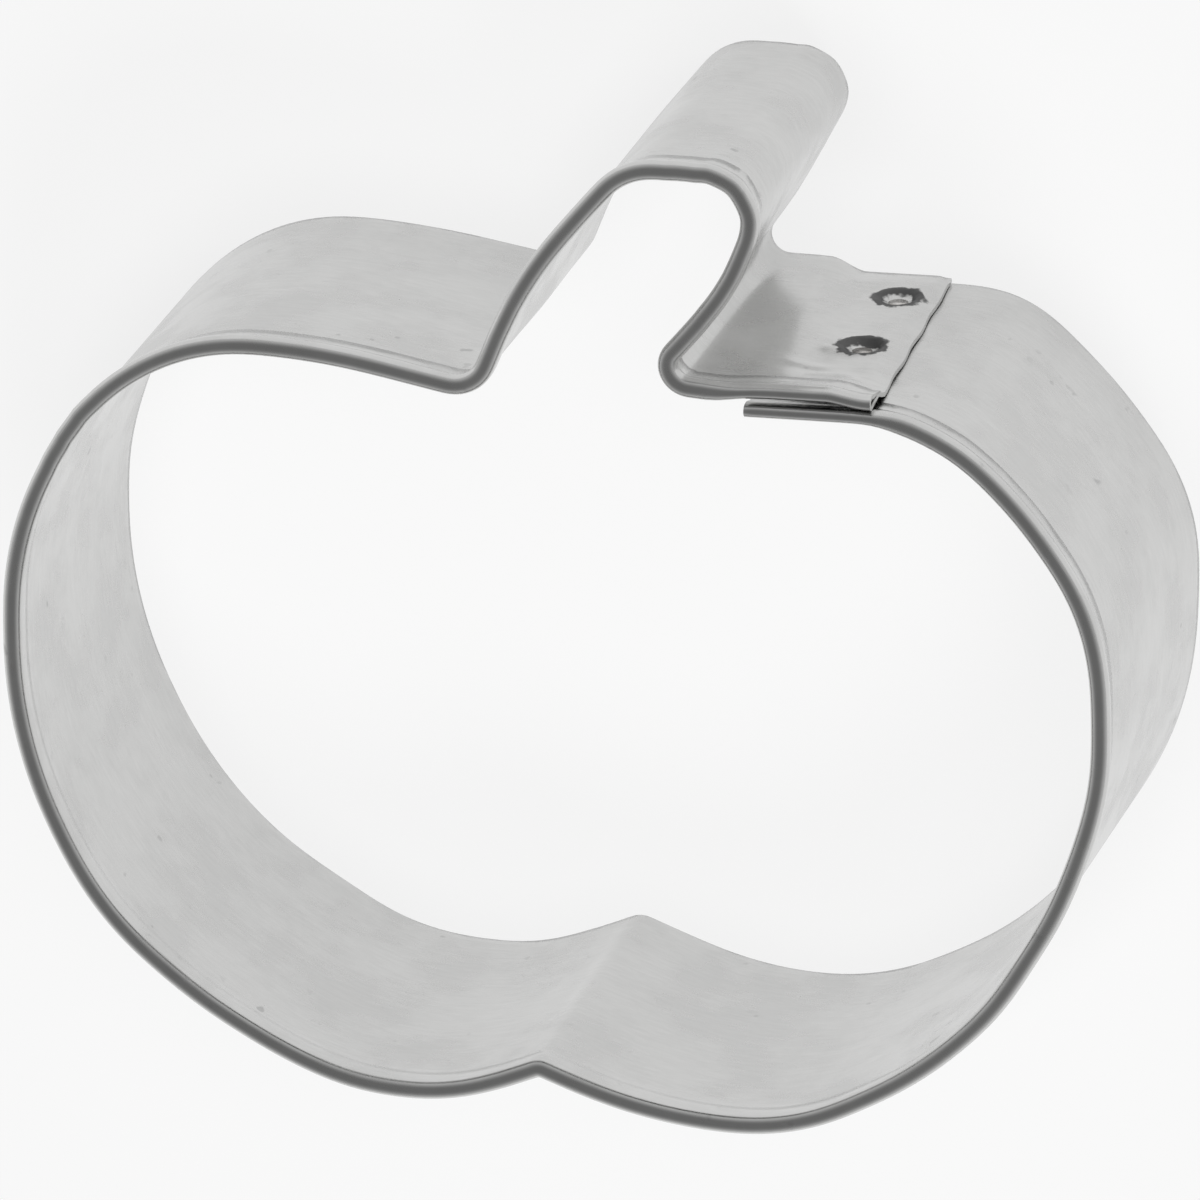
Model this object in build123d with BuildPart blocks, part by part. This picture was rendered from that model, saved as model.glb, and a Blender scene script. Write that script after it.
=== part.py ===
from build123d import *
from math import cos, radians, sin, tan
import os

# Pumpkin-shaped cookie cutter, bent from one strip of thin sheet that stands on its cutting edge.
# X runs across the two lobes, Y up through the stem, Z from the cutting edge to the rolled rim.
# The origin is the middle of the outline, on the plane of the cutting edge. All sizes are in mm.

# Strip
sheet = 0.3  # thickness of the sheet
band_depth = 25.4  # cutting edge to the top of the rolled rim

# Rolled rim: the strip's edge curls outwards and down, and its leg lies along the wall
rim_diameter = 1.3  # over the curl
rim_shift = 0.15  # curl's middle, outwards from the middle of the wall
hem_depth = 3.2  # top of the rim to the raw end of the leg
hem_gap = 0.05  # between the leg and the wall
joggle_start = 2.3  # wall begins to lean in under the curl, below the rim's top
joggle_end = 1.5  # wall reaches the curl's inner side, below the rim's top
curl_drop = 1.2  # curl's outer side begins to return, below the rim's top
curl_return = 2.2  # leg reaches the wall, below the rim's top
hem_bend_radius = 0.6  # gentle bends below the curl
curl_fullness = 0.98  # curl's radius over half its width, short of 1 to leave a flat on top

# Outline over the rolled rim
cutter_width = 76.5
body_height = 53.5  # lowest lobe to the top of the shoulders
stem_height = 15.5  # top of the shoulders to the top of the stem

# Corners of the straight guide runs that the outline is rounded from, walked clockwise from the seam.
# "in" is measured from the side's guide run, "drop" from the shoulder's and "rise" from the lobes'.
right_shoulder_x = 24.75
right_shoulder_drop = 0.15
right_slope_in = 7.05
right_slope_drop = 4.25
right_side_drop = 13.15
right_side_rise = 22.45
right_lower_in = 10.3
right_lower_rise = 6.5
right_lobe_rise = 0.3
right_lobe_outer_x = 16.2
right_lobe_inner_x = 7.3
notch_x = -1.0
notch_rise = 3.15
notch_radius = 4.0
left_lobe_inner_x = -7.2
left_lobe_outer_x = -16.35
left_lower_in = 7.2
left_lower_rise = 7.85
left_side_rise = 22.2
left_side_drop = 15.25
left_slope_in = 5.4
left_slope_drop = 4.85
left_shoulder_outer_x = -24.8
left_shoulder_inner_x = -16.05

# Stem, measured up from the shoulder's guide run
stem_left_foot_x = -5.2
stem_left_foot_drop = 1.5
stem_left_foot_radius = 2.65
stem_left_bend_x = -2.1
stem_left_bend_rise = 6.55
stem_left_top_x = 4.85
stem_left_top_radius = 4.5
stem_right_top_x = 14.85
stem_right_top_radius = 3.0
stem_right_bend_x = 10.25
stem_right_bend_rise = 5.8
stem_right_foot_x = 5.85
stem_right_foot_radius = 1.6
run_share = 0.49  # of the shorter run beside a corner, the most that its arc takes up

# Seam on the right shoulder, where the strip's outer end laps over its inner end
seam_slope = 2.7  # degrees that the lap falls towards the stem
seam_inner_x = 13.15  # strip's inner end
lap_length = 7.9
lap_clearance = 0.05  # between the two curls

# Spot welds: a pit pressed through the gap of the lap, and the nugget at the bottom of the pit
weld_from_end = 2.95  # from the outer layer's raw end, along the lap
upper_weld_height = 14.1  # above the cutting edge
lower_weld_height = 5.0
pit_diameter = 3.4  # at its mouth
pit_floor_diameter = 2.0  # inside, at its floor
pit_floor_gap = 0.05  # between the floor and the inner layer
nugget_diameter = 1.4

# Places that follow from the sizes above
rim_reach = rim_shift + rim_diameter / 2  # outermost point of the rim, from the middle of the wall
rim_inset = rim_diameter / 2 - rim_shift  # innermost point of the rim
side_x = cutter_width / 2 - rim_reach
lobe_y = rim_reach - (body_height + stem_height) / 2
shoulder_y = lobe_y + body_height - 2 * rim_reach
stem_y = shoulder_y + stem_height
lap_spacing = rim_reach + rim_inset + lap_clearance  # between the middles of the two layers
right_shoulder = Vector(right_shoulder_x, shoulder_y - right_shoulder_drop)
seam_direction = Vector(cos(radians(seam_slope)), sin(radians(seam_slope)))
seam_normal = Vector(-seam_direction.Y, seam_direction.X)


def on_lap(x, offset=0.0):
    """Point of the seam's line at a place across the body, moved out by an offset."""
    along = (x - right_shoulder.X + offset * seam_direction.Y) / seam_direction.X
    return right_shoulder + seam_direction * along + seam_normal * offset


def largest_radius(before, corner, after):
    """Radius of the largest arc that the runs on each side of a corner leave room for."""
    run_in = corner - before
    run_out = after - corner
    half_turn = radians(run_in.get_angle(run_out) / 2)
    return run_share * min(run_in.length, run_out.length) / tan(half_turn)


def corner_radii(points, wanted):
    """Radius at each inner corner: its own where it has one and there is room, or the largest."""
    radii = []
    for before, corner, after, radius in zip(points, points[1:], points[2:], wanted):
        room = largest_radius(before, corner, after)
        radii.append(min(radius or room, room))
    return radii


# Each row is a guide corner and the radius of its arc, or None for the largest arc that fits
guide = [
    (right_shoulder, None),
    (Vector(side_x - right_slope_in, shoulder_y - right_slope_drop), None),
    (Vector(side_x, shoulder_y - right_side_drop), None),
    (Vector(side_x, lobe_y + right_side_rise), None),
    (Vector(side_x - right_lower_in, lobe_y + right_lower_rise), None),
    (Vector(right_lobe_outer_x, lobe_y + right_lobe_rise), None),
    (Vector(right_lobe_inner_x, lobe_y + right_lobe_rise), None),
    (Vector(notch_x, lobe_y + notch_rise), notch_radius),
    (Vector(left_lobe_inner_x, lobe_y), None),
    (Vector(left_lobe_outer_x, lobe_y), None),
    (Vector(left_lower_in - side_x, lobe_y + left_lower_rise), None),
    (Vector(-side_x, lobe_y + left_side_rise), None),
    (Vector(-side_x, shoulder_y - left_side_drop), None),
    (Vector(left_slope_in - side_x, shoulder_y - left_slope_drop), None),
    (Vector(left_shoulder_outer_x, shoulder_y), None),
    (Vector(left_shoulder_inner_x, shoulder_y), None),
    (Vector(stem_left_foot_x, shoulder_y - stem_left_foot_drop), stem_left_foot_radius),
    (Vector(stem_left_bend_x, shoulder_y + stem_left_bend_rise), None),
    (Vector(stem_left_top_x, stem_y), stem_left_top_radius),
    (Vector(stem_right_top_x, stem_y), stem_right_top_radius),
    (Vector(stem_right_bend_x, shoulder_y + stem_right_bend_rise), None),
    (on_lap(stem_right_foot_x, lap_spacing), stem_right_foot_radius),
]
inner_end = on_lap(seam_inner_x)
outer_end = on_lap(seam_inner_x + lap_length, lap_spacing)
route = [inner_end] + [corner for corner, radius in guide] + [outer_end]

# Middle line of the strip's section, from the cutting edge up over the curl to the leg's raw end
curl_half_width = (rim_diameter - sheet) / 2
curl_top = band_depth - sheet / 2
leg_offset = sheet + hem_gap
section = [
    Vector(0, 0),
    Vector(0, band_depth - joggle_start),
    Vector(rim_shift - curl_half_width, band_depth - joggle_end),
    Vector(rim_shift - curl_half_width, curl_top),
    Vector(rim_shift + curl_half_width, curl_top),
    Vector(rim_shift + curl_half_width, band_depth - curl_drop),
    Vector(leg_offset, band_depth - curl_return),
    Vector(leg_offset, band_depth - hem_depth),
]
curl_radius = curl_fullness * curl_half_width
section_radii = [hem_bend_radius, hem_bend_radius, curl_radius, curl_radius, hem_bend_radius, hem_bend_radius]

# A weld's axis runs into the body, square to the lap, from the outer layer's outer face
weld_mouth = outer_end - seam_direction * weld_from_end + seam_normal * (sheet / 2)
floor_depth = lap_spacing - pit_floor_gap  # outer face to the far side of the pit's floor
pit_depth = floor_depth - sheet
nugget_end = lap_spacing + sheet  # inner layer's inner face
weld_heights = {"upper_spot_weld": upper_weld_height, "lower_spot_weld": lower_weld_height}
weld_planes = {
    name: Plane(origin=(weld_mouth.X, weld_mouth.Y, height), z_dir=-seam_normal)
    for name, height in weld_heights.items()
}
from_face = (Align.CENTER, Align.CENTER, Align.MIN)  # solids that start at a weld's mouth


def nugget(mode=Mode.ADD):
    """Metal fused through the pit's floor and the inner layer, in a weld's own axes."""
    with Locations((0, 0, pit_depth)):
        Cylinder(nugget_diameter / 2, nugget_end - pit_depth, align=from_face, mode=mode)


with BuildPart() as cutter_band:
    with BuildLine() as band_route:
        FilletPolyline(*route, radius=corner_radii(route, [radius for corner, radius in guide]))
    with BuildSketch(Plane(origin=inner_end, x_dir=seam_normal, z_dir=seam_direction)):
        with BuildLine():
            FilletPolyline(*section, radius=corner_radii(section, section_radii))
        trace(line_width=sheet)
    sweep(path=band_route.wires()[0])
    for plane in weld_planes.values():
        with Locations(plane):
            Cone(pit_diameter / 2 + sheet, pit_floor_diameter / 2 + sheet, floor_depth, align=from_face)
            Cone(pit_diameter / 2, pit_floor_diameter / 2, pit_depth, align=from_face, mode=Mode.SUBTRACT)
            nugget(Mode.SUBTRACT)

os.makedirs("parts", exist_ok=True)
cutter_band.part.label = "cutter_band"
export_step(cutter_band.part, "parts/cutter_band.step")

for name, plane in weld_planes.items():
    with BuildPart(plane) as spot_weld:
        nugget()
    spot_weld.part.label = name
    export_step(spot_weld.part, f"parts/{name}.step")
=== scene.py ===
"""Pumpkin-shaped cookie cutter, bent from one strip of tinned sheet with a rolled rim.

The strip is rolled and marked flat, bent round the outline and given its thickness.
"""

import logging
from dataclasses import dataclass, field
from enum import Enum
from math import atan2, cos, exp, hypot, radians, sin, tan

import bmesh
import bpy
from mathutils import Matrix, Vector

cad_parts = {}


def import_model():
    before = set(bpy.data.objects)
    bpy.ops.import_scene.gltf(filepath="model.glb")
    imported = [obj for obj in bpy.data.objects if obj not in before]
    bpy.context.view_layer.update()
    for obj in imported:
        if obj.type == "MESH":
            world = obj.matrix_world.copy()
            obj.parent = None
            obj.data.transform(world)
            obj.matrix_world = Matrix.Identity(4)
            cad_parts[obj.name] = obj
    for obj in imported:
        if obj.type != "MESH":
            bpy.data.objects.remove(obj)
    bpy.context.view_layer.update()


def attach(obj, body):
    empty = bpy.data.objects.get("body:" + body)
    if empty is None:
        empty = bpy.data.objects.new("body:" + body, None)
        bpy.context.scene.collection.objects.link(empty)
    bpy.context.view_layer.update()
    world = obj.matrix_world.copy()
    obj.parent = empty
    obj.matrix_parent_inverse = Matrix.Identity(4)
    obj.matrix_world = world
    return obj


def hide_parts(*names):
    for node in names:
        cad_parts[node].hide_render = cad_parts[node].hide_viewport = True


log = logging.getLogger("cookie_cutter")

MM = 0.001
BODY = "root"
STRIP_MAP = "strip"
STRIP_MAP_SCALE = 100  # map units per metre

# Sizes in millimetres that more than one class takes
RIM_SHIFT = 0.15
LAP_LENGTH = 7.9
WELD_FROM_END = 2.95
UPPER_WELD_HEIGHT = 14.1
LOWER_WELD_HEIGHT = 5.0

Point = tuple[float, float]
Colour = tuple[float, float, float, float]


class Slot(Enum):
    """Material slots of the record that the pieces take their finish from."""

    SHEET = "tinned_sheet"
    WELD = "weld_metal"


class Node(Enum):
    """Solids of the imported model."""

    BAND = "cutter_band"
    UPPER_WELD = "upper_spot_weld"
    LOWER_WELD = "lower_spot_weld"


# Outline


@dataclass(frozen=True)
class Leg:
    """One straight or evenly curved stretch of the outline.

    Attributes:
        start: Place where the stretch begins, in metres.
        heading: Direction of travel there, in radians from +X.
        length: Length along the stretch, in metres.
        bend: Turn to the left per metre, nought on a straight run.
    """

    start: Vector
    heading: float
    length: float
    bend: float

    def at(self, distance: float) -> tuple[Vector, float]:
        """Find the place and heading at a distance along the stretch.

        Args:
            distance: Distance from its start, in metres.

        Returns:
            The place and the heading there.
        """
        if self.bend == 0:
            return self.start + Vector((cos(self.heading), sin(self.heading))) * distance, self.heading
        turned = self.heading + self.bend * distance
        swing = Vector((sin(turned) - sin(self.heading), cos(self.heading) - cos(turned)))
        return self.start + swing / self.bend, turned


@dataclass(frozen=True)
class Corner:
    """One guide corner of the outline, in millimetres, with the radius that rounds it."""

    x: float
    y: float
    radius: float | None = None

    def place(self) -> Vector:
        """Return the corner's place in metres."""
        return Vector((self.x, self.y)) * MM


@dataclass(frozen=True)
class Outline:
    """Path that the middle of the strip's wall follows, clockwise from the inner end of the seam."""

    right_shoulder: Corner = Corner(24.75, 18.05)
    right_slope: Corner = Corner(30.4, 13.95)
    right_side_top: Corner = Corner(37.45, 5.05)
    right_side_foot: Corner = Corner(37.45, -11.25)
    right_lower: Corner = Corner(27.15, -27.2)
    right_lobe_outer: Corner = Corner(16.2, -33.4)
    right_lobe_inner: Corner = Corner(7.3, -33.4)
    notch: Corner = Corner(-1.0, -30.55, 1.4)
    left_lobe_inner: Corner = Corner(-7.2, -33.7)
    left_lobe_outer: Corner = Corner(-16.35, -33.7)
    left_lower: Corner = Corner(-30.25, -25.85)
    left_side_foot: Corner = Corner(-37.45, -11.5)
    left_side_top: Corner = Corner(-37.45, 2.95)
    left_slope: Corner = Corner(-32.05, 13.35)
    left_shoulder_outer: Corner = Corner(-24.8, 18.2)
    left_shoulder_inner: Corner = Corner(-16.05, 18.2)
    stem_left_foot: Corner = Corner(-5.2, 16.7, 2.65)
    stem_left_bend: Corner = Corner(-2.1, 24.75)
    stem_left_top: Corner = Corner(4.85, 33.7, 4.5)
    stem_right_top: Corner = Corner(14.85, 33.7, 3.0)
    stem_right_bend: Corner = Corner(10.25, 24.0)
    stem_right_foot_x: float = 5.85
    stem_right_foot_radius: float = 1.6
    seam_slope: float = radians(2.7)
    seam_inner_x: float = 13.15
    lap_length: float = LAP_LENGTH
    lap_spacing: float = 1.35
    run_share: float = 0.49  # of the shorter run beside a corner, the most that its arc takes up
    open_radius: float = 1e3  # of a corner that has none of its own, so that its arc fills the runs

    def on_lap(self, x: float, offset: float = 0.0) -> Vector:
        """Find a point on the seam's line.

        Args:
            x: Place across the body, in millimetres.
            offset: Distance outwards from the line, in millimetres.

        Returns:
            The point, in metres.
        """
        along = Vector((cos(self.seam_slope), sin(self.seam_slope)))
        outward = Vector((-along.y, along.x))
        base = Vector((self.right_shoulder.x, self.right_shoulder.y))
        reach = (x - base.x + offset * along.y) / along.x
        return (base + along * reach + outward * offset) * MM

    def corners(self) -> list[Corner]:
        """Return the corners between the strip's two ends, in walking order."""
        listed = [value for value in vars(self).values() if isinstance(value, Corner)]
        foot = self.on_lap(self.stem_right_foot_x, self.lap_spacing) / MM
        return [*listed, Corner(foot.x, foot.y, self.stem_right_foot_radius)]

    def legs(self) -> list[Leg]:
        """Round the guide corners with arcs.

        Returns:
            Straight and curved stretches from the inner end to the outer end.
        """
        corners = self.corners()
        outer_x = self.seam_inner_x + self.lap_length
        points = [self.on_lap(self.seam_inner_x), *(corner.place() for corner in corners)]
        points.append(self.on_lap(outer_x, self.lap_spacing))
        legs: list[Leg] = []
        here = points[0]
        for before, point, after, corner in zip(points, points[1:], points[2:], corners):
            run_in, run_out = point - before, after - point
            turn = run_in.angle_signed(run_out) * -1
            room = self.run_share * min(run_in.length, run_out.length)
            taken = min(room, (corner.radius or self.open_radius) * MM * tan(abs(turn) / 2))
            radius = taken / tan(abs(turn) / 2)
            heading = atan2(run_in.y, run_in.x)
            arc_start = point - run_in.normalized() * taken
            legs.append(Leg(here, heading, (arc_start - here).length, 0.0))
            legs.append(Leg(arc_start, heading, radius * abs(turn), (1 if turn > 0 else -1) / radius))
            here = point + run_out.normalized() * taken
        last = points[-1] - here
        legs.append(Leg(here, atan2(last.y, last.x), last.length, 0.0))
        return legs


class Route:
    """The outline as one walk, with its curves eased into each other as sheet metal bends.

    Attributes:
        weights: Shares of a point and its neighbours in the eased place.
        least_bend: Turn per metre that a straight run is taken to have.
    """

    weights = (1, 4, 6, 4, 1)
    least_bend = 1e-3

    def __init__(self, outline: Outline, ease: float = 1.1 * MM, ease_share: float = 0.11) -> None:
        """Measure the outline.

        Args:
            outline: Outline to walk.
            ease: Most that a point is averaged with its neighbours, each way, in metres.
            ease_share: The same over the tightest radius nearby.
        """
        self.legs = outline.legs()
        self.starts = [sum(leg.length for leg in self.legs[:index]) for index in range(len(self.legs))]
        self.length = self.starts[-1] + self.legs[-1].length
        self.ease = ease
        self.ease_share = ease_share
        self.frames: dict[float, tuple[Vector, Vector]] = {}

    def exact(self, along: float) -> tuple[Vector, float]:
        """Find the place and heading on the outline as drawn, straight on past its two ends."""
        for leg, start in zip(reversed(self.legs), reversed(self.starts)):
            if along >= start:
                return leg.at(along - start)
        return self.legs[0].at(along)

    def radius(self, along: float, reach: float = 3.0 * MM) -> float:
        """Return the tightest radius within a reach of a place, in metres."""
        bends = [
            abs(leg.bend)
            for leg, start in zip(self.legs, self.starts)
            if start - reach < along < start + leg.length + reach
        ]
        return 1 / max(max(bends, default=0.0), self.least_bend)

    def frame(self, along: float) -> tuple[Vector, Vector]:
        """Find the eased place and the outward direction there.

        Args:
            along: Distance from the strip's inner end, in metres.

        Returns:
            The place and the unit vector that points out of the cutter.
        """
        if along in self.frames:
            return self.frames[along]
        gap = min(self.ease, self.ease_share * self.radius(along))
        total = sum(self.weights)
        place, travel = Vector((0, 0)), Vector((0, 0))
        for step, weight in enumerate(self.weights, start=-(len(self.weights) // 2)):
            spot, heading = self.exact(along + step * gap)
            place += spot * weight / total
            travel += Vector((cos(heading), sin(heading))) * weight
        travel.normalize()
        self.frames[along] = place, Vector((-travel.y, travel.x))
        return self.frames[along]


# Strip


@dataclass(frozen=True)
class HandBend:
    """A place where the wall was bent a little in or out by hand, in millimetres.

    Attributes:
        along: Distance from the strip's inner end.
        rim: Shift outwards at the rim.
        edge: Shift outwards at the cutting edge.
        spread: Reach of the bend along the strip.
    """

    along: float
    rim: float
    edge: float
    spread: float

    def shift(self, along: float, height: float, rim_height: float) -> float:
        """Return the outward shift of a point of the wall, all in metres."""
        share = height / rim_height
        swell = exp(-(((along / MM - self.along) / self.spread) ** 2))
        return MM * swell * (self.edge * (1 - share) + self.rim * share)


@dataclass(frozen=True)
class Dent:
    """A soft round dent or bump, in millimetres, outwards when its depth is positive."""

    along: float
    height: float
    depth: float
    wide: float
    tall: float

    def shift(self, along: float, height: float) -> float:
        """Return the outward shift of a point of the wall, all in metres."""
        across = (along / MM - self.along) / self.wide
        up = (height / MM - self.height) / self.tall
        return MM * self.depth * exp(-(across * across + up * up))


def smooth_step(low: float, high: float, value: float) -> float:
    """Return a smooth rise from 0 at low to 1 at high."""
    share = min(max((value - low) / (high - low), 0.0), 1.0)
    return share * share * (3 - 2 * share)


def new_piece(name: str, mesh_name: str, shell: bmesh.types.BMesh) -> bpy.types.Object:
    """Turn a finished mesh into an object at the origin.

    Args:
        name: Name of the object.
        mesh_name: Name of its mesh.
        shell: The mesh's shape, which is freed.

    Returns:
        The object, in the scene.
    """
    mesh = bpy.data.meshes.new(mesh_name)
    shell.to_mesh(mesh)
    shell.free()
    piece = bpy.data.objects.new(name, mesh)
    bpy.context.scene.collection.objects.link(piece)
    return piece


@dataclass(frozen=True)
class RolledSection:
    """Middle line of the strip's section, in millimetres, from the cutting edge to its leg's raw end.

    Starts, ends, drops and returns are measured down from the rim's top.
    """

    sheet: float = 0.3
    depth: float = 25.4
    rim_diameter: float = 1.3
    rim_shift: float = RIM_SHIFT  # curl's middle, outwards from the middle of the wall
    hem_depth: float = 3.2
    hem_gap: float = 0.03
    thin_share: float = 0.3  # of the sheet's thickness, left at the leg's raw end
    joggle_start: float = 2.75
    joggle_end: float = 1.45
    curl_drop: float = 0.95
    curl_return: float = 1.6
    joggle_reach: float = 0.45  # of the rounding on each side of a corner
    joggle_steps: int = 4
    bend_reach: float = 0.22
    bend_steps: int = 2
    curl_reach: float = 0.48
    curl_steps: int = 7
    row: float = 0.85  # height of the wall's rows
    fine_row: float = 0.34
    fine_reach: float = 2.6  # from a fine height, where the rows are closer together

    def line(self) -> list[Point]:
        """Return the guide corners as outward distance and height."""
        half = (self.rim_diameter - self.sheet) / 2
        top = self.depth - self.sheet / 2
        leg = self.sheet + self.hem_gap
        raw_end = self.sheet / 2 + self.hem_gap + self.thin_share * self.sheet / 2
        return [
            (0.0, 0.0),
            (0.0, self.depth - self.joggle_start),
            (self.rim_shift - half, self.depth - self.joggle_end),
            (self.rim_shift - half, top),
            (self.rim_shift + half, top),
            (self.rim_shift + half, self.depth - self.curl_drop),
            (leg, self.depth - self.curl_return),
            (raw_end, self.depth - self.hem_depth),
        ]

    def build(
        self, shell: bmesh.types.BMesh, fine_heights: tuple[float, ...]
    ) -> list[bmesh.types.BMEdge]:
        """Draw the section as a chain of edges in the plane across the strip.

        Args:
            shell: Mesh that the chain is added to.
            fine_heights: Heights in millimetres where the wall's rows are closer together.

        Returns:
            The edges of the chain.
        """
        corners = [shell.verts.new((0.0, out * MM, up * MM)) for out, up in self.line()]
        for start, end in zip(corners, corners[1:]):
            shell.edges.new((start, end))
        self.divide_wall(corners, fine_heights)
        for corner in corners[3:5]:
            self.round_corner(shell, corner, self.curl_reach, self.curl_steps)
        for corner in corners[1:3]:
            self.round_corner(shell, corner, self.joggle_reach, self.joggle_steps)
        for corner in corners[5:7]:
            self.round_corner(shell, corner, self.bend_reach, self.bend_steps)
        return list(shell.edges)

    def thickness(self, out: float, height: float) -> float:
        """Weigh how thick the sheet is at a point, since its leg thins towards the raw end.

        Args:
            out: Outward distance in the flat section, in metres.
            height: Height above the cutting edge, in metres.

        Returns:
            Nought at the leg's raw end, and one everywhere above the leg and on the wall.
        """
        if out < self.sheet / 2 * MM:
            return 1.0
        return smooth_step(self.depth - self.hem_depth, self.depth - self.curl_return, height / MM)

    def round_corner(
        self, shell: bmesh.types.BMesh, corner: bmesh.types.BMVert, reach: float, steps: int
    ) -> None:
        """Round one corner of the chain over a reach each side, in millimetres."""
        bmesh.ops.bevel(
            shell,
            geom=[corner],
            affect="VERTICES",
            offset=reach * MM,
            offset_type="OFFSET",
            segments=steps,
            profile=0.5,
            material=-1,
        )

    def divide_wall(self, corners: list[bmesh.types.BMVert], fine_heights: tuple[float, ...]) -> None:
        """Divide the wall's straight stretch into rows, closer together at the fine heights."""
        height = corners[1].co.z
        places = [0.0]
        while places[-1] < height:
            near = min(abs(places[-1] / MM - fine) for fine in fine_heights)
            places.append(places[-1] + MM * (self.fine_row if near < self.fine_reach else self.row))
        foot = corners[0]
        for place in places[1:-1]:
            rest = next(edge for edge in foot.link_edges if edge.other_vert(foot).co.z > foot.co.z)
            share = (place - foot.co.z) / (rest.other_vert(foot).co.z - foot.co.z)
            _, foot = bmesh.utils.edge_split(rest, foot, share)


@dataclass(frozen=True)
class Lap:
    """Where the strip's outer end lies over its inner end, in millimetres.

    The outer layer is fully pressed in near its raw end, and free of it beyond its start.
    """

    length: float = LAP_LENGTH
    rim_height: float = 24.75
    free_height: float = 22.8  # where the curl holds the layers apart
    held_height: float = 18.5  # up to which the layers are pressed together
    end_held_height: float = 21.4  # the same at the raw end
    end_zone: Point = (0.3, 2.4)
    rim_close: float = 0.4
    edge_start: float = 9.0
    edge_full: float = 6.5
    wall_start: float = 8.4
    wall_full: float = 4.4
    wall_height: float = 10.0
    close: float = 0.62  # how far the layer is pressed in on the wall
    edge_close: float = 0.86  # at the cutting edge
    edge_fade: float = 2.6
    end_close: float = 0.97  # at the raw end
    end_fade: Point = (0.2, 1.4)
    touch: float = 1.02  # at which the layers meet
    overrun: float = 0.6  # of the raw end past the place where the lap ends
    slant: float = 1.25
    trim_fade: float = 2.2
    ripple: float = 0.05
    ripple_pitch: float = 1.1
    ripple_phase: float = 0.6
    gape: float = 0.025  # wave of the gap along the raw end
    gape_pitch: float = 1.3
    gape_phase: float = 1.0
    gape_fade: float = 2.2
    weld_from_end: float = WELD_FROM_END
    weld_heights: Point = (UPPER_WELD_HEIGHT, LOWER_WELD_HEIGHT)
    pit_radius: float = 1.5
    floor_radius: float = 0.8
    lip: float = 0.06  # raised ring round a pit
    lip_offset: float = 0.1
    lip_width: float = 0.28
    curl_pinch: float = 0.34  # share by which the curl is flatter in the lap
    curl_foot: float = 23.0
    curl_fade: float = 0.8
    pinch_fade: float = 3.0

    def shift(self, from_end: float, height: float) -> float:
        """Return how far the outer layer is pressed towards the inner one.

        Args:
            from_end: Distance back from the outer raw end, in metres.
            height: Height above the cutting edge, in metres.

        Returns:
            Shift towards the inside, in metres.
        """
        back, up = from_end / MM, height / MM
        share = smooth_step(0.0, self.wall_height, up)
        start = self.edge_start + (self.wall_start - self.edge_start) * share
        full = self.edge_full + (self.wall_full - self.edge_full) * share
        most = self.close + (self.edge_close - self.close) * (1 - smooth_step(0.0, self.edge_fade, up))
        most += (self.end_close - most) * (1 - smooth_step(*self.end_fade, back))
        wave = sin(up * self.gape_pitch + self.gape_phase)
        most += self.gape * wave * (1 - smooth_step(0.0, self.gape_fade, back))
        at_end = 1 - smooth_step(*self.end_zone, back)
        held = self.held_height + (self.end_held_height - self.held_height) * at_end
        loose = smooth_step(held, self.free_height, up)
        pressed = most * smooth_step(start, full, back) * (1 - loose) + self.rim_close * at_end * loose
        for weld in self.weld_heights:
            away = hypot(back - self.weld_from_end, up - weld)
            pit = 1 - smooth_step(self.floor_radius, self.pit_radius, away)
            rim = self.lip * exp(-(((away - self.pit_radius - self.lip_offset) / self.lip_width) ** 2))
            pressed += (self.touch - pressed) * pit - rim
        return MM * min(pressed, self.touch)

    def pinch(self, along: float, from_end: float, out: float, height: float) -> float:
        """Return the outward distance of a point of the rim, whose curl is pinched flatter in the lap.

        Args:
            along: Distance from the inner raw end, in metres.
            from_end: Distance back from the outer raw end, in metres.
            out: Outward distance before the pinch, in metres.
            height: Height above the cutting edge, in metres.

        Returns:
            The outward distance after it.
        """
        nearest = min(along, from_end) / MM
        near = 1 - smooth_step(self.length, self.length + self.pinch_fade, nearest)
        on_curl = smooth_step(self.curl_foot, self.curl_foot + self.curl_fade, height / MM)
        share = self.curl_pinch * near * on_curl
        return out + (RIM_SHIFT * MM - out) * share


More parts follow.
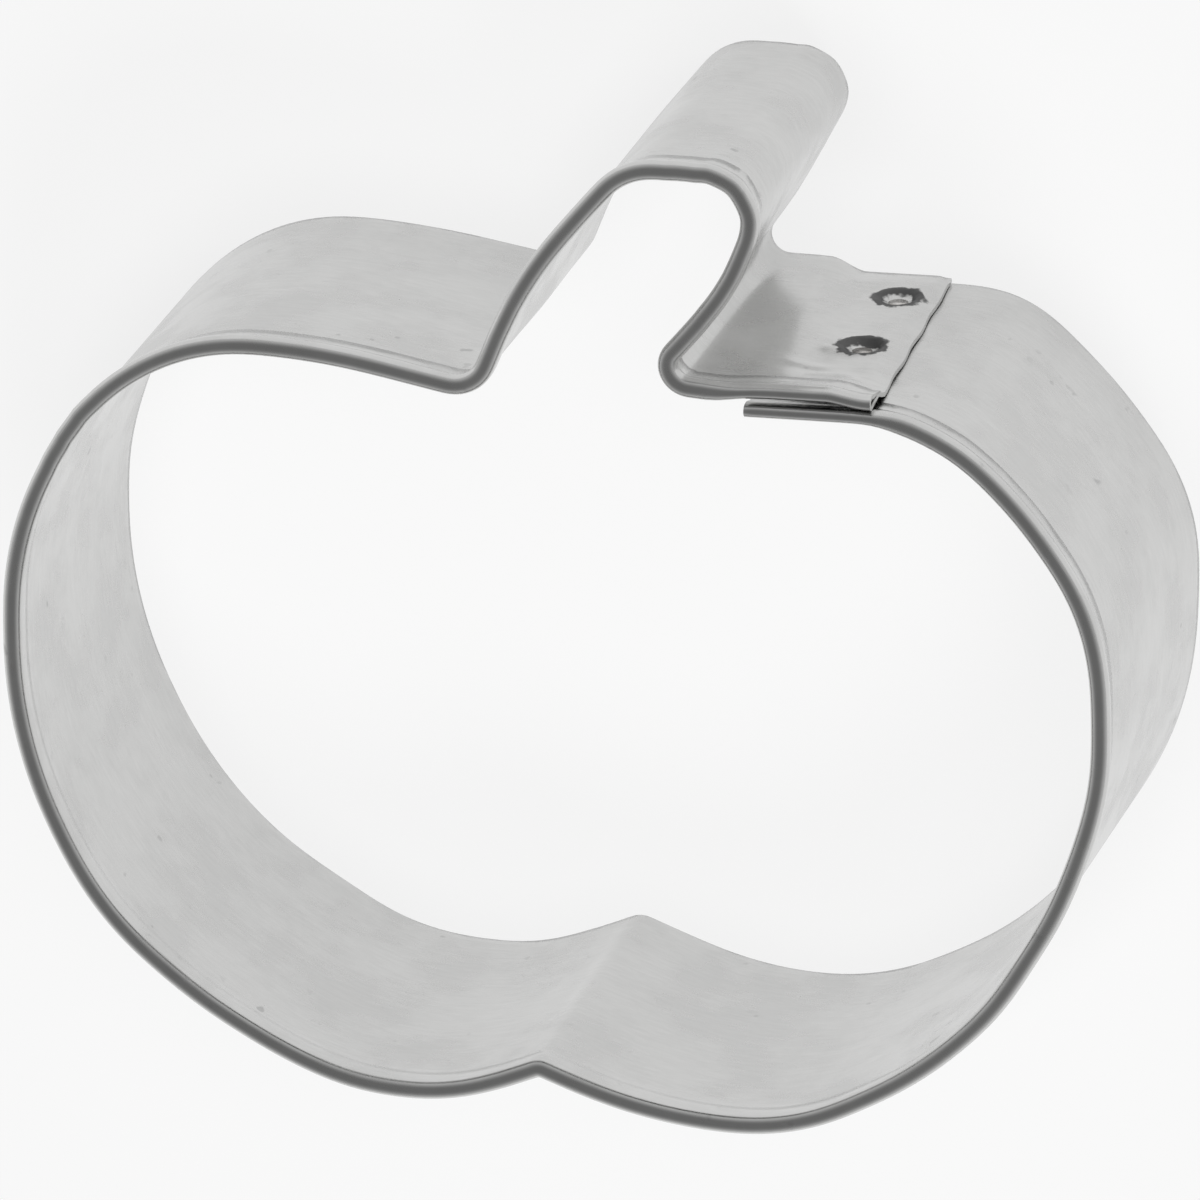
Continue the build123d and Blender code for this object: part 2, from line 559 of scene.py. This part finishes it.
@dataclass
class Band:
    """The strip: rolled, marked, bent round the outline and given its thickness."""

    outline: Outline = field(default_factory=Outline)
    section: RolledSection = field(default_factory=RolledSection)
    lap: Lap = field(default_factory=Lap)
    longest_step: float = 0.66 * MM
    shortest_step: float = 0.12 * MM
    lap_step: float = 0.24 * MM
    lap_margin: float = 2.5  # past the lap, where the steps are as short as in it
    turn_step: float = radians(5)
    turn_reach: float = 0.5 * MM
    plain_rim: float = 3.0 * MM  # below the curl, free of dents
    end_zone: float = 14.0 * MM  # that the outer end's shaping reaches back over
    end_bevel: float = 0.05 * MM
    end_bevel_steps: int = 2
    end_angle: float = radians(60)
    hand_bends: tuple[HandBend, ...] = (
        HandBend(12.5, -0.2, 0.12, 3.0),
        HandBend(18.5, -0.1, -0.12, 3.5),
        HandBend(25.0, -0.08, -0.08, 3.5),
        HandBend(33.0, -0.34, 0.1, 7.0),
        HandBend(46.0, -0.36, 0.08, 6.0),
        HandBend(58.0, 0.18, 0.0, 4.0),
        HandBend(75.0, 0.08, -0.08, 6.0),
        HandBend(92.5, 0.36, -0.06, 6.5),
        HandBend(98.5, 0.0, -0.16, 3.2),
        HandBend(112.0, -0.36, 0.16, 5.0),
        HandBend(121.0, -0.3, 0.1, 5.0),
        HandBend(148.0, -0.1, 0.0, 12.0),
        HandBend(157.0, 0.0, -0.15, 4.0),
        HandBend(184.0, 0.18, 0.0, 8.0),
        HandBend(161.8, 0.04, 0.05, 0.6),
        HandBend(163.6, 0.04, 0.05, 0.6),
        HandBend(165.6, 0.05, 0.05, 0.7),
        HandBend(215.0, -0.15, 0.0, 5.0),
        HandBend(217.6, 0.05, 0.05, 0.6),
        HandBend(219.3, 0.05, 0.06, 0.5),
        HandBend(221.2, 0.06, 0.05, 0.6),
        HandBend(223.4, 0.05, 0.04, 0.6),
        HandBend(228.0, 0.38, -0.16, 4.0),
        HandBend(236.5, 0.0, 0.2, 2.6),
        HandBend(240.0, -0.2, 0.1, 2.0),
    )
    dents: tuple[Dent, ...] = (
        Dent(9.4, 8.4, -0.2, 1.0, 1.2),
        Dent(9.4, 17.2, -0.22, 1.1, 1.4),
        Dent(245.0, 6.0, 0.12, 0.55, 0.7),
        Dent(245.0, 15.0, 0.12, 0.55, 0.7),
        Dent(244.6, 18.6, 0.1, 1.9, 0.6),
        Dent(95.3, 13.0, 0.09, 0.45, 8.0),
        Dent(197.0, 11.0, -0.1, 3.0, 5.0),
        Dent(188.0, 3.5, -0.08, 2.4, 1.6),
        Dent(181.0, 2.5, 0.06, 2.0, 1.4),
        Dent(125.0, 12.0, -0.08, 5.0, 6.0),
        Dent(142.0, 8.0, 0.07, 6.0, 5.0),
        Dent(80.0, 10.0, -0.06, 5.0, 6.0),
        Dent(31.0, 12.0, 0.06, 5.0, 6.0),
    )
    fine_heights: tuple[float, ...] = (LOWER_WELD_HEIGHT, 8.9, UPPER_WELD_HEIGHT, 18.5)
    thin_group: str = "thickness"

    def build(self) -> bpy.types.Object:
        """Make the band.

        Returns:
            The finished object, at the origin.
        """
        route = Route(self.outline)
        shell = bmesh.new()
        along = shell.verts.layers.float.new("along")
        chain = self.section.build(shell, self.fine_heights)
        self.roll_out(shell, chain, along, route)
        self.add_strip_map(shell, along)
        thin = shell.verts.layers.deform.verify()
        for corner in shell.verts:
            corner[thin][0] = self.section.thickness(corner.co.y, corner.co.z)
        self.shape(shell, along, route)
        bmesh.ops.recalc_face_normals(shell, faces=shell.faces)
        band = new_piece("band", "band", shell)
        self.thicken(band)
        band.data.shade_smooth()
        return band

    def thicken(self, band: bpy.types.Object) -> None:
        """Give the bent shell the sheet's thickness and take the sharpness off its sheared edges."""
        band.vertex_groups.new(name=self.thin_group)
        wall = band.modifiers.new("sheet_thickness", "SOLIDIFY")
        wall.thickness = self.section.sheet * MM
        wall.offset = 0.0
        wall.use_even_offset = True
        wall.vertex_group = self.thin_group
        wall.thickness_vertex_group = self.section.thin_share
        ends = band.modifiers.new("sheared_edges", "BEVEL")
        ends.width = self.end_bevel
        ends.segments = self.end_bevel_steps
        ends.limit_method = "ANGLE"
        ends.angle_limit = self.end_angle

    def stations(self, route: Route) -> list[float]:
        """Return the distances along the strip where its section is repeated, in metres."""
        places = [0.0]
        lap = (self.lap.length + self.lap_margin) * MM
        while places[-1] < route.length:
            here = places[-1]
            in_lap = here > route.length - lap
            step = min(self.longest_step, self.turn_step * route.radius(here, self.turn_reach))
            step = min(step, self.lap_step if in_lap else step)
            places.append(here + max(step, self.shortest_step))
        places[-1] = route.length
        return places

    def roll_out(
        self,
        shell: bmesh.types.BMesh,
        chain: list[bmesh.types.BMEdge],
        along: bmesh.types.BMLayerItem,
        route: Route,
    ) -> None:
        """Extrude the section into the flat strip, which runs along X."""
        places = self.stations(route)
        for before, here in zip(places, places[1:]):
            made = bmesh.ops.extrude_edge_only(shell, edges=chain)["geom"]
            corners = [item for item in made if isinstance(item, bmesh.types.BMVert)]
            chain = [
                item
                for item in made
                if isinstance(item, bmesh.types.BMEdge) and all(end in corners for end in item.verts)
            ]
            bmesh.ops.translate(shell, verts=corners, vec=(here - before, 0, 0))
            for corner in corners:
                corner[along] = here

    def add_strip_map(self, shell: bmesh.types.BMesh, along: bmesh.types.BMLayerItem) -> None:
        """Lay a UV map over the flat strip, in centimetres along it and up it."""
        layer = shell.loops.layers.uv.new(STRIP_MAP)
        for face in shell.faces:
            for loop in face.loops:
                loop[layer].uv = (loop.vert[along] * STRIP_MAP_SCALE, loop.vert.co.z * STRIP_MAP_SCALE)

    def shape(self, shell: bmesh.types.BMesh, along: bmesh.types.BMLayerItem, route: Route) -> None:
        """Press the marks into the flat strip and bend it round the outline."""
        rim_height = self.lap.rim_height * MM
        for corner in shell.verts:
            place, height = corner[along], corner.co.z
            from_end = route.length - place
            out = self.lap.pinch(place, from_end, corner.co.y, height)
            out += sum(bend.shift(place, height, rim_height) for bend in self.hand_bends)
            if height < rim_height - self.plain_rim:
                out += sum(dent.shift(place, height) for dent in self.dents)
            if from_end < self.end_zone:
                out -= self.lap.shift(from_end, height)
                place -= self.trim(from_end, height)
            spot, outward = route.frame(place)
            corner.co = (*(spot + outward * out), height)

    def trim(self, from_end: float, height: float) -> float:
        """Return how far the slanting outer end, whose cut is not quite true, falls short, in metres."""
        lap = self.lap
        share = 1 - height / (lap.rim_height * MM)
        fade = 1 - smooth_step(0.0, lap.trim_fade * MM, from_end)
        wave = lap.ripple * sin(height / MM * lap.ripple_pitch + lap.ripple_phase)
        return MM * fade * (lap.slant * share - lap.overrun + wave)


@dataclass(frozen=True)
class SpotWeld:
    """The metal fused at the bottom of one pit, in millimetres.

    Each ring is the width of a step towards the disc's middle and its rise.
    """

    name: str
    node: Node
    height: float
    outline: Outline = field(default_factory=Outline)
    diameter: float = 1.4
    sides: int = 40
    rings: tuple[Point, ...] = ((0.12, 0.02), (0.14, -0.04), (0.16, -0.03), (0.14, 0.0))
    from_end: float = WELD_FROM_END
    floor: float = 0.54  # of the pit, outwards from the middle of the inner layer
    length: float = 0.71

    def build(self) -> bpy.types.Object:
        """Make the weld as a disc with a pressed ring and a dished middle.

        Returns:
            The finished object, at the origin.
        """
        disc = bmesh.new()
        bmesh.ops.create_circle(disc, cap_ends=True, segments=self.sides, radius=self.diameter / 2 * MM)
        face = disc.faces[:][0]
        for inset, lift in self.rings:
            bmesh.ops.inset_region(disc, faces=[face], thickness=inset * MM, use_even_offset=True)
            bmesh.ops.translate(disc, verts=face.verts, vec=(0, 0, lift * MM))
        rim = [edge for edge in disc.edges if edge.is_boundary]
        made = bmesh.ops.extrude_edge_only(disc, edges=rim)["geom"]
        low = [item for item in made if isinstance(item, bmesh.types.BMVert)]
        bmesh.ops.translate(disc, verts=low, vec=(0, 0, -self.length * MM))
        back = [edge for edge in disc.edges if edge.is_boundary]
        bmesh.ops.contextual_create(disc, geom=back)
        bmesh.ops.recalc_face_normals(disc, faces=disc.faces)
        bmesh.ops.transform(disc, matrix=self.place(), verts=disc.verts)
        weld = new_piece(self.name, self.node.value, disc)
        weld.data.shade_smooth()
        return weld

    def place(self) -> Matrix:
        """Return the matrix that stands the disc in its pit, its face outwards."""
        slope = self.outline.seam_slope
        end = self.outline.on_lap(self.outline.seam_inner_x + self.outline.lap_length, 0.0)
        back = Vector((cos(slope), sin(slope))) * self.from_end * MM
        outward = Vector((-sin(slope), cos(slope)))
        spot = end - back + outward * self.floor * MM
        turn = outward.to_3d().to_track_quat("Z", "Y").to_matrix().to_4x4()
        return Matrix.Translation((spot.x, spot.y, self.height * MM)) @ turn


# Finishes


class Nodes:
    """Short way to place shader nodes in a tree and join them."""

    def __init__(self, tree: bpy.types.NodeTree) -> None:
        """Work on one node tree."""
        self.tree = tree

    def add(self, kind: str, **settings: object) -> bpy.types.Node:
        """Add a node.

        Args:
            kind: Node type without its ShaderNode prefix.
            **settings: Attributes of the node; inputs is a dict of socket values or source sockets.

        Returns:
            The new node.
        """
        node = self.tree.nodes.new("ShaderNode" + kind)
        inputs = settings.pop("inputs", {})
        for name, value in settings.items():
            setattr(node, name, value)
        for name, value in inputs.items():
            if isinstance(value, bpy.types.NodeSocket):
                self.tree.links.new(value, node.inputs[name])
            else:
                node.inputs[name].default_value = value
        return node

    def math(self, operation: str, first: object, second: object = 0.0) -> bpy.types.NodeSocket:
        """Add a Math node and return its output."""
        return self.add("Math", operation=operation, inputs={0: first, 1: second}).outputs[0]

    def range(
        self, value: object, low: float, high: float, to_low: float = 0.0, to_high: float = 1.0
    ) -> bpy.types.NodeSocket:
        """Add a smooth Map Range node and return its output."""
        return self.add(
            "MapRange",
            interpolation_type="SMOOTHSTEP",
            inputs={"Value": value, "From Min": low, "From Max": high, "To Min": to_low, "To Max": to_high},
        ).outputs["Result"]

    def noise(self, place: bpy.types.NodeSocket, scale: object, **settings: float) -> bpy.types.NodeSocket:
        """Add a Noise Texture node, with its Detail and Roughness as settings, and return its factor."""
        inputs = {"Vector": place, "Scale": scale, **settings}
        return self.add("TexNoise", inputs=inputs).outputs["Fac"]

    def mix_colours(
        self, share: object, first: object, second: object, blend: str = "MIX"
    ) -> bpy.types.NodeSocket:
        """Add a Mix node for colours and return its output."""
        inputs = {0: share, 6: first, 7: second}
        return self.add("Mix", data_type="RGBA", blend_type=blend, inputs=inputs).outputs[2]

    def mix_numbers(self, share: object, first: object, second: object) -> bpy.types.NodeSocket:
        """Add a Mix node for numbers and return its output."""
        return self.add("Mix", inputs={0: share, 2: first, 3: second}).outputs[0]

    def seen_rays(self) -> bpy.types.NodeSocket:
        """Return 1 on camera, glossy and transmission rays, which all see the same background."""
        path = self.add("LightPath").outputs
        mirrored = self.math("MAXIMUM", path["Is Camera Ray"], path["Is Glossy Ray"])
        return self.math("MAXIMUM", mirrored, path["Is Transmission Ray"])

    def finish(self, kind: str, shader: bpy.types.NodeSocket) -> None:
        """Join a shader to the output node of its tree."""
        self.add(kind, inputs={"Surface": shader})

    def finish_metal(
        self, colour: bpy.types.NodeSocket, rough: bpy.types.NodeSocket, relief: dict[str, object]
    ) -> None:
        """Finish a material as bare metal, with its relief given as the inputs of a Bump node."""
        normal = self.add("Bump", inputs=relief).outputs["Normal"]
        inputs = {"Base Color": colour, "Metallic": 1.0, "Roughness": rough, "Normal": normal}
        self.finish("OutputMaterial", self.add("BsdfPrincipled", inputs=inputs).outputs[0])


def new_material(name: str) -> tuple[bpy.types.Material, Nodes]:
    """Make an empty material and return it with its nodes."""
    material = bpy.data.materials.new(name)
    material.use_nodes = True
    material.node_tree.nodes.clear()
    return material, Nodes(material.node_tree)


def tinted(tone: float, green: float = 1.0, blue: float = 1.0) -> Colour:
    """Return a grey of one tone, with its green and blue as shares of it."""
    return tone, tone * green, tone * blue, 1


def new_group(name: str, inputs: dict[str, float], outputs: tuple[str, ...]) -> bpy.types.NodeTree:
    """Make an empty shader node group.

    Args:
        name: Name of the group.
        inputs: Name and default of each number input; Vector inputs end with that word.
        outputs: Names of the number outputs.

    Returns:
        The group, with its input and output nodes in place.
    """
    group = bpy.data.node_groups.new(name, "ShaderNodeTree")
    for socket, default in inputs.items():
        kind = "NodeSocketVector" if socket.endswith("Vector") else "NodeSocketFloat"
        made = group.interface.new_socket(socket, in_out="INPUT", socket_type=kind)
        if kind == "NodeSocketFloat":
            made.default_value = default
    for socket in outputs:
        group.interface.new_socket(socket, in_out="OUTPUT", socket_type="NodeSocketFloat")
    group.nodes.new("NodeGroupInput")
    group.nodes.new("NodeGroupOutput")
    return group


@dataclass(frozen=True)
class HandlingMarks:
    """Smudges, fine scratches, rolling lines and specks, as one node group for every finish.

    Scales and counts are those of the noise that makes each mark, and each range is where it
    starts and is full.
    """

    smudge_scale: float = 170.0
    smudge_detail: float = 6.0
    smudge_roughness: float = 0.62
    smudge_range: Point = (0.36, 0.66)
    line_count: float = 30.0
    line_detail: float = 3.0
    line_roughness: float = 0.7
    line_stretch: tuple[float, float, float] = (0.16, 1.0, 1.0)
    scratch_turn: float = radians(38)
    scratch_stretch: tuple[float, float, float] = (0.7, 9.0, 1.0)
    scratch_count: float = 3.4
    scratch_width: float = 0.03
    patch_scale: float = 260.0
    patch_detail: float = 2.0
    patch_range: Point = (0.52, 0.68)
    speck_scale: float = 780.0
    speck_detail: float = 1.0
    speck_range: Point = (0.69, 0.76)

    def build(self) -> bpy.types.NodeTree:
        """Build the group.

        Returns:
            Group with outputs Smudge, Scratch, Lines and Speck, each from 0 to 1.
        """
        group = new_group(
            "handling_marks",
            {
                "Vector": 0.0,
                "Strip Vector": 0.0,
                "Smudge Size": self.smudge_scale,
                "Line Count": self.line_count,
            },
            ("Smudge", "Scratch", "Lines", "Speck"),
        )
        nodes = Nodes(group)
        source = group.nodes["Group Input"].outputs
        place, strip = source["Vector"], source["Strip Vector"]
        smudge = nodes.noise(
            place, source["Smudge Size"], Detail=self.smudge_detail, Roughness=self.smudge_roughness
        )
        stretched = nodes.add("Mapping", inputs={"Vector": strip, "Scale": self.line_stretch})
        lines = nodes.noise(
            stretched.outputs[0],
            source["Line Count"],
            Detail=self.line_detail,
            Roughness=self.line_roughness,
        )
        turn = (0, 0, self.scratch_turn)
        inputs = {"Vector": strip, "Rotation": turn, "Scale": self.scratch_stretch}
        tilted = nodes.add("Mapping", inputs=inputs)
        inputs = {"Vector": tilted.outputs[0], "Scale": self.scratch_count}
        cell = nodes.add("TexVoronoi", feature="DISTANCE_TO_EDGE", inputs=inputs)
        hair = nodes.range(cell.outputs["Distance"], 0.0, self.scratch_width, 1.0, 0.0)
        veil = nodes.noise(place, self.patch_scale, Detail=self.patch_detail)
        patch = nodes.range(veil, *self.patch_range)
        spots = nodes.noise(place, self.speck_scale, Detail=self.speck_detail)
        spot = nodes.range(spots, *self.speck_range)
        out = group.nodes["Group Output"].inputs
        group.links.new(nodes.math("MULTIPLY", spot, patch), out["Speck"])
        group.links.new(nodes.range(smudge, *self.smudge_range), out["Smudge"])
        group.links.new(nodes.math("MULTIPLY", hair, patch), out["Scratch"])
        group.links.new(lines, out["Lines"])
        return group


@dataclass(frozen=True)
class TinnedSheet:
    """Bright tinned steel sheet, satin from rolling and handled a little."""

    marks: bpy.types.NodeTree
    welds: tuple[Vector, ...]
    tone: float = 0.64
    smudge_tone: float = 0.61
    blue_share: float = 0.99
    line_tone: float = 0.95
    line_range: Point = (0.3, 0.7)
    speck_tone: float = 0.75
    roughness: float = 0.22
    smudge_roughness: float = 0.28
    scratch_roughness: float = 0.12  # added on a scratch
    burnt_roughness: float = 0.25  # added on the ring of heat tint and painted pit shade
    line_relief: float = 0.35
    relief_strength: float = 0.12
    relief_depth: float = 0.01 * MM
    # burnt_tone and the ring sizes below paint a dark ragged ring over each pit's sloping wall: partly heat
    # tint round the weld, partly painted shade of the slopes.
    burnt_tone: float = 0.12
    tint_and_shade_inside: float = 0.8 * MM
    tint_and_shade_outside: float = 1.75 * MM
    tint_and_shade_blur: float = 0.25 * MM
    tint_and_shade_ragged: float = 1.1 * MM
    ragged_scale: float = 1500.0
    ragged_detail: float = 2.0
    ragged_middle: float = 0.5

    def build(self) -> bpy.types.Material:
        """Return the sheet's material."""
        material, nodes = new_material(Slot.SHEET.value)
        place = nodes.add("TexCoord").outputs["Object"]
        strip = nodes.add("UVMap", uv_map=STRIP_MAP).outputs["UV"]
        inputs = {"Vector": place, "Strip Vector": strip}
        marks = nodes.add("Group", node_tree=self.marks, inputs=inputs).outputs
        # burnt masks the heat tint and the painted shade on each pit's sloping wall.
        burnt = self.heat_tint_and_pit_shade(nodes, place)
        rough = nodes.range(marks["Smudge"], 0.0, 1.0, self.roughness, self.smudge_roughness)
        scratched = nodes.math("MULTIPLY", marks["Scratch"], self.scratch_roughness)
        rough = nodes.math("ADD", rough, scratched)
        rough = nodes.math("ADD", rough, nodes.math("MULTIPLY", burnt, self.burnt_roughness))
        lines = nodes.math("MULTIPLY", marks["Lines"], self.line_relief)
        height = nodes.math("SUBTRACT", lines, marks["Scratch"])
        relief = {"Strength": self.relief_strength, "Distance": self.relief_depth, "Height": height}
        nodes.finish_metal(self.colour(nodes, marks, burnt), rough, relief)
        return material

    def heat_tint_and_pit_shade(self, nodes: Nodes, place: bpy.types.NodeSocket) -> bpy.types.NodeSocket:
        """Mask the ragged ring round each weld: partly heat tint, partly painted shade on the pit's sloping
        wall.

        Args:
            nodes: Nodes of the material.
            place: Object coordinates.

        Returns:
            One on a ring and nought off it.
        """
        away = [
            nodes.add("VectorMath", operation="DISTANCE", inputs={0: place, 1: weld}).outputs["Value"]
            for weld in self.welds
        ]
        edge = nodes.noise(place, self.ragged_scale, Detail=self.ragged_detail)
        centred = nodes.math("SUBTRACT", edge, self.ragged_middle)
        ragged = nodes.math("MULTIPLY", centred, self.tint_and_shade_ragged)
        reach = nodes.math("ADD", nodes.math("MINIMUM", *away), ragged)
        inside = nodes.range(reach, self.tint_and_shade_inside, self.tint_and_shade_inside + self.tint_and_shade_blur)
        outside = nodes.range(reach, self.tint_and_shade_outside, self.tint_and_shade_outside + self.tint_and_shade_blur, 1.0, 0.0)
        return nodes.math("MULTIPLY", inside, outside)

    def colour(
        self, nodes: Nodes, marks: bpy.types.NodeOutputs, burnt: bpy.types.NodeSocket
    ) -> bpy.types.NodeSocket:
        """Mix the sheet's colour from its marks.

        Args:
            nodes: Nodes of the material.
            marks: Outputs of the handling marks.
            burnt: Mask of the rings of heat tint and painted shade on the pits' sloping walls.

        Returns:
            The colour.
        """
        plain = tinted(self.tone, blue=self.blue_share)
        smudged = tinted(self.smudge_tone, blue=self.blue_share)
        handled = nodes.mix_colours(marks["Smudge"], plain, smudged)
        # Each ring is darkened to burnt_tone: partly heat tint, partly painted shade on the pit's sloping
        # wall.
        dark = nodes.mix_colours(burnt, handled, tinted(self.burnt_tone))
        worn = nodes.mix_numbers(marks["Speck"], 1.0, self.speck_tone)
        streaks = nodes.range(marks["Lines"], *self.line_range, 1.0, self.line_tone)
        return nodes.mix_colours(1.0, dark, nodes.math("MULTIPLY", worn, streaks), "MULTIPLY")


@dataclass(frozen=True)
class WeldMetal:
    """Dull grey metal of the spot welds, mottled by heat."""

    marks: bpy.types.NodeTree
    tone: float = 0.7
    shades: Point = (0.98, 0.96)
    burnt_tone: float = 0.42
    burnt_shades: Point = (0.95, 0.9)
    roughness: float = 0.35
    burnt_roughness: float = 0.15  # added where it is burnt
    mottle_scale: float = 900.0
    relief_strength: float = 0.4
    relief_depth: float = 0.03 * MM

    def build(self) -> bpy.types.Material:
        """Return the weld's material."""
        material, nodes = new_material(Slot.WELD.value)
        place = nodes.add("TexCoord").outputs["Object"]
        inputs = {"Vector": place, "Strip Vector": place, "Smudge Size": self.mottle_scale}
        burnt = nodes.add("Group", node_tree=self.marks, inputs=inputs).outputs["Smudge"]
        plain = tinted(self.tone, *self.shades)
        colour = nodes.mix_colours(burnt, plain, tinted(self.burnt_tone, *self.burnt_shades))
        rough = nodes.range(burnt, 0.0, 1.0, self.roughness, self.roughness + self.burnt_roughness)
        relief = {"Strength": self.relief_strength, "Distance": self.relief_depth, "Height": burnt}
        nodes.finish_metal(colour, rough, relief)
        return material


# Studio


@dataclass(frozen=True)
class Softbox:
    """One soft lamp, placed by the direction that it shines from.

    Attributes:
        name: Name of the lamp.
        azimuth: Direction round the object, in degrees from +X.
        elevation: Height over the horizon, in degrees.
        power: Power in watts.
        size: Width of the lamp, in metres.
        distance: Distance from the object, in metres.
    """

    name: str
    azimuth: float
    elevation: float
    power: float
    size: float = 0.4
    distance: float = 1.1

    def build(self) -> None:
        """Hang the lamp so that it faces the object."""
        azimuth, elevation = radians(self.azimuth), radians(self.elevation)
        flat = cos(elevation)
        way = Vector((flat * cos(azimuth), flat * sin(azimuth), sin(elevation)))
        data = bpy.data.lights.new(self.name, "AREA")
        data.shape = "DISK"
        data.size = self.size
        data.energy = self.power
        lamp = bpy.data.objects.new(self.name, data)
        lamp.location = way * self.distance
        lamp.rotation_euler = way.to_track_quat("Z", "Y").to_euler()
        lamp.visible_glossy = False
        bpy.context.scene.collection.objects.link(lamp)


@dataclass
class Studio:
    """Pale floor, soft lamps, plain surroundings and the camera."""

    floor_size: float = 3.0
    floor_tone: float = 0.9
    lens: float = 465.0
    sensor: float = 36.0
    nearest: float = 0.05
    farthest: float = 20.0
    distance: float = 1.0195
    aim: tuple[float, float, float] = (3.23 * MM, 3.04 * MM, 24.75 * MM)
    tilt_y: float = radians(16.16)
    tilt_x: float = radians(-22.44)
    background_share: float = 0.8  # of plain white in the floor, where it is seen or mirrored
    fill_level: float = 0.05
    zenith_level: float = 0.2
    horizon_level: float = 0.6
    room_range: Point = (0.1, 0.9)  # rise of a line of sight over which the room darkens
    softboxes: tuple[Softbox, ...] = (
        Softbox("key", -56.0, 54.0, 3.6),
        Softbox("side", 40.0, 60.0, 1.7),
        Softbox("overhead", 0.0, 89.9, 4.5),
    )

    def build(self) -> None:
        """Build the whole studio."""
        self.build_floor()
        self.build_world()
        for softbox in self.softboxes:
            softbox.build()
        self.build_camera()

    def build_floor(self) -> None:
        """Lay the floor, near white to the camera and in the metal, apart from a light shadow."""
        sheet = bmesh.new()
        bmesh.ops.create_grid(sheet, x_segments=1, y_segments=1, size=self.floor_size / 2)
        floor = new_piece("floor", "floor", sheet)
        material, nodes = new_material("pale_floor")
        share = nodes.math("MULTIPLY", nodes.seen_rays(), self.background_share)
        cloth = nodes.add("BsdfDiffuse", inputs={"Color": tinted(self.floor_tone)})
        white = nodes.add("Emission", inputs={"Color": tinted(1.0), "Strength": 1.0})
        mixed = nodes.add("MixShader", inputs={0: share, 1: cloth.outputs[0], 2: white.outputs[0]})
        nodes.finish("OutputMaterial", mixed.outputs[0])
        floor.data.materials.append(material)

    def build_world(self) -> None:
        """Surround the object with a plain room, the same all round, dark overhead and paler low down."""
        world = bpy.data.worlds.new("room")
        bpy.context.scene.world = world
        world.use_nodes = True
        world.node_tree.nodes.clear()
        nodes = Nodes(world.node_tree)
        way = nodes.add("TexCoord").outputs["Generated"]
        up = nodes.add("SeparateXYZ", inputs={"Vector": way}).outputs["Z"]
        room = nodes.range(up, *self.room_range, self.horizon_level, self.zenith_level)
        level = nodes.mix_numbers(nodes.seen_rays(), self.fill_level, room)
        light = nodes.add("Background", inputs={"Color": tinted(1.0), "Strength": level})
        nodes.finish("OutputWorld", light.outputs[0])

    def build_camera(self) -> None:
        """Stand the camera where the photograph was taken from."""
        data = bpy.data.cameras.new("camera")
        data.lens = self.lens
        data.sensor_width = self.sensor
        data.clip_start = self.nearest
        data.clip_end = self.farthest
        camera = bpy.data.objects.new("camera", data)
        turn = Matrix.Rotation(self.tilt_y, 4, "Y") @ Matrix.Rotation(self.tilt_x, 4, "X")
        back = Matrix.Translation((0, 0, self.distance))
        camera.matrix_world = Matrix.Translation(self.aim) @ turn @ back
        bpy.context.scene.collection.objects.link(camera)
        bpy.context.scene.camera = camera


# Cutter


@dataclass
class CookieCutter:
    """The whole cutter."""

    band: Band = field(default_factory=Band)
    upper_weld: SpotWeld = SpotWeld("upper_weld", Node.UPPER_WELD, UPPER_WELD_HEIGHT)
    lower_weld: SpotWeld = SpotWeld("lower_weld", Node.LOWER_WELD, LOWER_WELD_HEIGHT)

    def build(self) -> None:
        """Build, finish and place each piece."""
        marks = HandlingMarks().build()
        welds = tuple(weld.place().translation for weld in (self.upper_weld, self.lower_weld))
        sheet = TinnedSheet(marks, welds).build()
        weld = WeldMetal(marks).build()
        self.place(self.band.build(), sheet, Slot.SHEET, Node.BAND)
        self.place(self.upper_weld.build(), weld, Slot.WELD, Node.UPPER_WELD)
        self.place(self.lower_weld.build(), weld, Slot.WELD, Node.LOWER_WELD)

    def place(self, piece: bpy.types.Object, finish: bpy.types.Material, slot: Slot, node: Node) -> None:
        """Dress one piece and let it stand for its solid.

        Args:
            piece: The finished object.
            finish: Its material.
            slot: Material slot of the record; not used.
            node: Solid that it stands for.
        """
        piece.data.materials.append(finish)
        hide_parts(node.value)
        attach(piece, BODY)
        log.info("%s stands for %s with %d vertices", piece.name, node.value, len(piece.data.vertices))


def main() -> None:
    """Build the studio and the cutter, and log each piece's vertex count."""
    logging.basicConfig(level=logging.INFO, format="%(name)s: %(message)s")
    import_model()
    bpy.context.scene.view_settings.view_transform = "Standard"
    Studio().build()
    CookieCutter().build()


if __name__ == "__main__":
    main()
